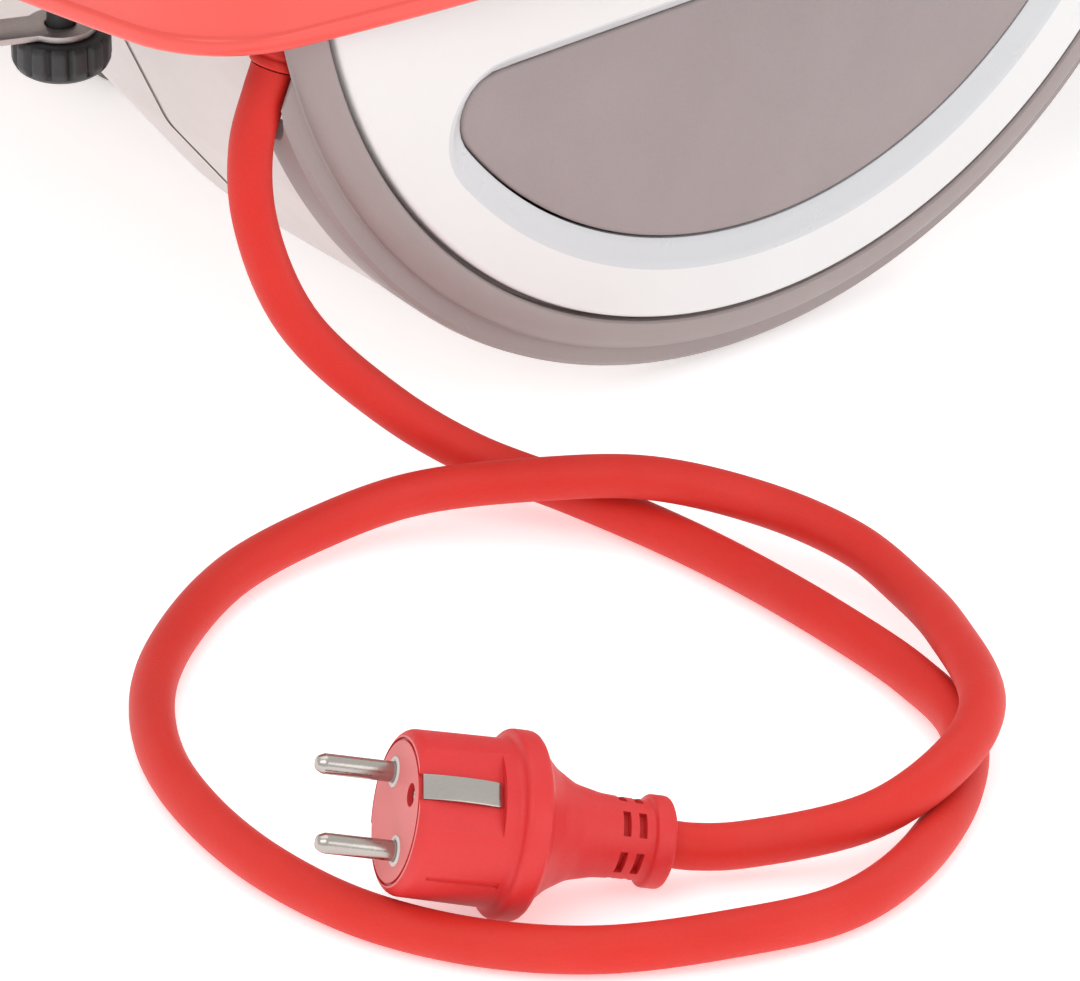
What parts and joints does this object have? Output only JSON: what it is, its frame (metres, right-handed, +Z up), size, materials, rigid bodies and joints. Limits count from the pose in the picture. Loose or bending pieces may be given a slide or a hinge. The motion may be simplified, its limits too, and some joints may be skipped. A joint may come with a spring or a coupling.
{
  "type": "pressure washer",
  "caption": "Compact electric pressure washer: domed hood over a half-drum body, front controls, rear wheels, telescopic handle, motor and axial piston pump, and a short mains lead with plug.",
  "frame": {"origin": "bottom centre of the machine on the floor, without the mains cord and plug", "axes": "+Z up, the front with the controls looks along -Y, +X is the side the mains cord leaves from"},
  "size_m": [0.5995, 0.5872, 0.467],
  "materials": {
    "body_grey": "warm grey moulded plastic",
    "panel_silver": "silver-white moulded plastic, satin",
    "inset_grey": "grey grained plastic",
    "foot_rubber": "black rubber",
    "black_plastic": "black grained plastic",
    "hood_red": "moulded red plastic, semi-gloss",
    "red_plastic": "red moulded plastic",
    "steel": "bright zinc-plated steel",
    "lens": "clear gauge lens",
    "brass": "machined brass",
    "black_paint": "black powder coat on steel tube",
    "tyre_rubber": "solid black tyre",
    "grip_rubber": "black soft rubber",
    "aluminium": "die-cast aluminium",
    "winding": "laminated core with copper winding",
    "cast_iron": "cast iron",
    "cord_red": "matte red rubber sheath",
    "plug_red": "moulded red rubber",
    "nickel": "nickel-plated pin"
  },
  "bodies": {
    "machine": {"base_tub": "body_grey", "side_shell_right": "body_grey", "side_shell_left": "body_grey", "side_panel_right": "panel_silver", "side_panel_left": "panel_silver", "side_inset_right": "inset_grey", "side_inset_left": "inset_grey", "foot_right": "foot_rubber", "foot_left": "foot_rubber", "deck": "black_plastic", "hood": "hood_red", "front_panel": "black_plastic", "gauge_case": "steel", "gauge_lens": "lens", "pressure_outlet": "brass", "water_inlet": "brass", "rear_frame": "black_paint", "rear_axle": "steel", "motor_housing": "aluminium", "stator": "winding", "bearing_front": "steel", "bearing_rear": "steel", "end_shield_front": "cast_iron", "end_shield_rear": "cast_iron", "fan_cowl": "black_plastic", "crankcase": "aluminium", "pump_head": "brass", "unloader_valve": "brass", "capacitor": "aluminium", "switch_box": "black_plastic", "chassis_tray": "steel", "strain_relief": "cord_red", "cable_gland_nut": "black_plastic", "plug_body": "plug_red", "plug_pin_upper": "nickel", "plug_pin_lower": "nickel", "earth_clip": "nickel", "mains_cord": "cord_red"},
    "right_wheel": {"wheel_right": "body_grey", "tyre_right": "tyre_rubber", "hub_cap_right": "black_plastic"},
    "left_wheel": {"wheel_left": "body_grey", "tyre_left": "tyre_rubber", "hub_cap_left": "black_plastic"},
    "handle": {"handle_bar": "black_paint", "handle_grip": "grip_rubber"},
    "right_lock": {"lock_button_right": "red_plastic"},
    "left_lock": {"lock_button_left": "red_plastic"},
    "switch": {"main_switch": "black_plastic"},
    "regulator": {"pressure_knob": "red_plastic"},
    "needle": {"gauge_needle": "red_plastic"},
    "union_nut": {"inlet_coupling": "black_plastic"},
    "knob": {"clamp_knob": "black_plastic"},
    "strip": {"clamp_strip": "steel"},
    "rotor": {"rotor_shaft": "steel", "swash_plate": "steel", "cooling_fan": "black_plastic"},
    "piston_a": {"piston_1": "steel"},
    "piston_b": {"piston_2": "steel"},
    "piston_c": {"piston_3": "steel"}
  },
  "joints": [
    {"name": "wheel_right_spin", "type": "hinge", "parent": "machine", "child": "right_wheel", "pos_m": [0.171, 0.203, 0.075], "axis": [1, 0, 0], "continuous": true},
    {"name": "wheel_left_spin", "type": "hinge", "parent": "machine", "child": "left_wheel", "pos_m": [-0.171, 0.203, 0.075], "axis": [1, 0, 0], "continuous": true},
    {"name": "handle_slide", "type": "slide", "parent": "machine", "child": "handle", "axis": [0, 0, 1], "range_m": [0, 0.2]},
    {"name": "lock_right_pull", "type": "slide", "parent": "machine", "child": "right_lock", "axis": [1, 0, 0], "range_m": [0, 0.004], "stiffness_N_per_m": 600, "springref_m": -0.003},
    {"name": "lock_left_pull", "type": "slide", "parent": "machine", "child": "left_lock", "axis": [-1, 0, 0], "range_m": [0, 0.004], "stiffness_N_per_m": 600, "springref_m": -0.003},
    {"name": "main_switch_turn", "type": "hinge", "parent": "machine", "child": "switch", "pos_m": [0.062, -0.2367, 0.214], "axis": [0, -1, 0], "range_deg": [0, 90]},
    {"name": "pressure_knob_turn", "type": "hinge", "parent": "machine", "child": "regulator", "pos_m": [-0.062, -0.2367, 0.214], "axis": [0, -1, 0], "range_deg": [0, 270]},
    {"name": "gauge_needle_turn", "type": "hinge", "parent": "machine", "child": "needle", "pos_m": [0, -0.23685, 0.222], "axis": [0, -1, 0], "range_deg": [0, 240], "stiffness_Nm_per_rad": 0.001, "springref_deg": -11.46},
    {"name": "inlet_coupling_turn", "type": "hinge", "parent": "machine", "child": "union_nut", "pos_m": [-0.034, -0.24435, 0.166], "axis": [0, -1, 0], "continuous": true},
    {"name": "clamp_knob_turn", "type": "hinge", "parent": "machine", "child": "knob", "pos_m": [0.0935, -0.2057, 0.1], "axis": [0, 0, 1], "range_deg": [0, 360]},
    {"name": "clamp_strip_swing", "type": "hinge", "parent": "machine", "child": "strip", "pos_m": [0.0935, -0.2057, 0.11], "axis": [0, 0, 1], "range_deg": [-30, 30]},
    {"name": "rotor_spin", "type": "hinge", "parent": "machine", "child": "rotor", "pos_m": [0, -0.043, 0.197], "axis": [0, 1, 0], "continuous": true},
    {"name": "piston_1_stroke", "type": "slide", "parent": "machine", "child": "piston_a", "axis": [0, -1, 0], "range_m": [0, 0.005], "stiffness_N_per_m": 800, "springref_m": -0.003},
    {"name": "piston_2_stroke", "type": "slide", "parent": "machine", "child": "piston_b", "axis": [0, -1, 0], "range_m": [0, 0.005], "stiffness_N_per_m": 800, "springref_m": -0.003},
    {"name": "piston_3_stroke", "type": "slide", "parent": "machine", "child": "piston_c", "axis": [0, -1, 0], "range_m": [0, 0.005], "stiffness_N_per_m": 800, "springref_m": -0.003}
  ]
}
